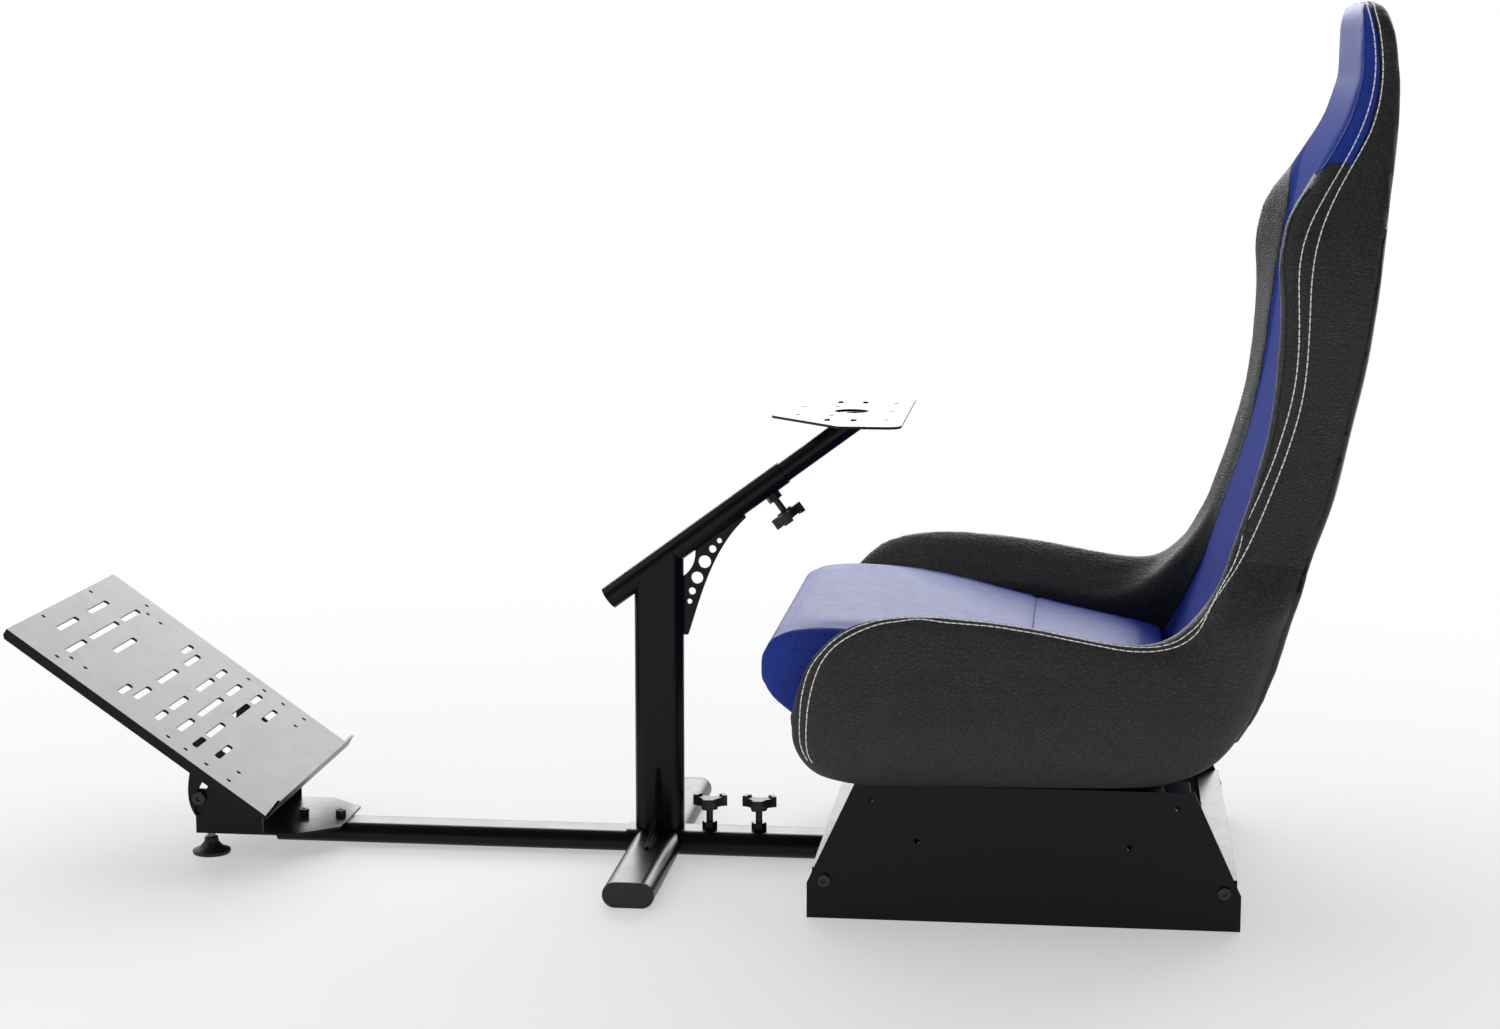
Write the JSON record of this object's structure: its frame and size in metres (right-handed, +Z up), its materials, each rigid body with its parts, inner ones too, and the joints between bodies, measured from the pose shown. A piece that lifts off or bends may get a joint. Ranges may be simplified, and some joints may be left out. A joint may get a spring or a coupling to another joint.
{
  "type": "sim racing cockpit",
  "caption": "Sim racing cockpit: bucket seat on a plate base, sliding oval beam with a tilting pedal tray, and a post with a telescopic column and wheel plate.",
  "frame": {"origin": "on the floor, under the centre of the steering post, on the underside of the main beam", "axes": "+X along the beam from the pedals to the seat, +Y to the driver's right, +Z up"},
  "size_m": [1.592, 0.618, 1.019],
  "materials": {
    "black_metal": "satin",
    "black_screw": "satin",
    "black_plastic": "satin",
    "black_leather": "satin",
    "blue_leather": "satin",
    "board": "matte"
  },
  "bodies": {
    "frame": {"rear_beam": "black_metal", "beam_end_cap": "black_plastic", "left_foot": "black_metal", "right_foot": "black_metal", "left_foot_cap": "black_plastic", "right_foot_cap": "black_plastic", "left_foot_gusset": "black_metal", "right_foot_gusset": "black_metal", "post": "black_metal", "column_gusset": "black_metal", "outer_column_tube": "black_metal", "column_nut": "black_metal", "front_beam_nut": "black_metal", "rear_beam_nut": "black_metal", "left_side_plate": "black_metal", "right_side_plate": "black_metal", "front_cross_bar": "black_metal", "rear_cross_bar": "black_metal", "left_front_side_bolt": "black_screw", "right_front_side_bolt": "black_screw", "left_rear_side_bolt": "black_screw", "right_rear_side_bolt": "black_screw", "seat_pan": "board", "seat_cushion": "blue_leather", "left_seat_bolster": "black_leather", "right_seat_bolster": "black_leather", "left_back_bolster": "black_leather", "right_back_bolster": "black_leather", "backrest_panel": "blue_leather", "headrest": "blue_leather", "back_shell": "black_plastic"},
    "pedal_carriage": {"front_beam": "black_metal", "pedal_base": "black_metal", "front_base_screw": "black_screw", "rear_base_screw": "black_screw", "left_tilt_bolt": "black_screw", "right_tilt_bolt": "black_screw"},
    "pedal_tray": {"pedal_plate": "black_metal", "left_pedal_ear": "black_metal", "right_pedal_ear": "black_metal"},
    "wheel_stem": {"stem_tube": "black_metal", "wheel_plate": "black_metal"},
    "left_level": {"left_leveling_foot": "black_plastic"},
    "right_level": {"right_leveling_foot": "black_plastic"},
    "front_beam_clamp": {"front_beam_knob": "black_plastic"},
    "rear_beam_clamp": {"rear_beam_knob": "black_plastic"},
    "column_clamp": {"column_knob": "black_plastic"}
  },
  "joints": [
    {"name": "pedal_slide", "type": "slide", "parent": "frame", "child": "pedal_carriage", "axis": [1, 0, 0], "range_m": [-0.06, 0.2]},
    {"name": "pedal_tilt", "type": "hinge", "parent": "pedal_carriage", "child": "pedal_tray", "pos_m": [-0.493, 0, 0.058], "axis": [0, 1, 0], "range_deg": [-13, 13]},
    {"name": "column_slide", "type": "slide", "parent": "frame", "child": "wheel_stem", "axis": [0.8039, 0, 0.5948], "range_m": [-0.08, 0.09]},
    {"name": "left_level_screw", "type": "slide", "parent": "pedal_carriage", "child": "left_level", "axis": [0, 0, 1], "range_m": [-0.012, 0.003]},
    {"name": "right_level_screw", "type": "slide", "parent": "pedal_carriage", "child": "right_level", "axis": [0, 0, 1], "range_m": [-0.012, 0.003]},
    {"name": "front_knob_turn", "type": "hinge", "parent": "frame", "child": "front_beam_clamp", "pos_m": [0.061, 0, 0.05], "axis": [0, 0, 1], "continuous": true},
    {"name": "rear_knob_turn", "type": "hinge", "parent": "frame", "child": "rear_beam_clamp", "pos_m": [0.1215, 0, 0.05], "axis": [0, 0, 1], "continuous": true},
    {"name": "column_knob_turn", "type": "hinge", "parent": "frame", "child": "column_clamp", "pos_m": [0.12891, 0, 0.45347], "axis": [0.5948, 0, -0.8039], "continuous": true}
  ]
}
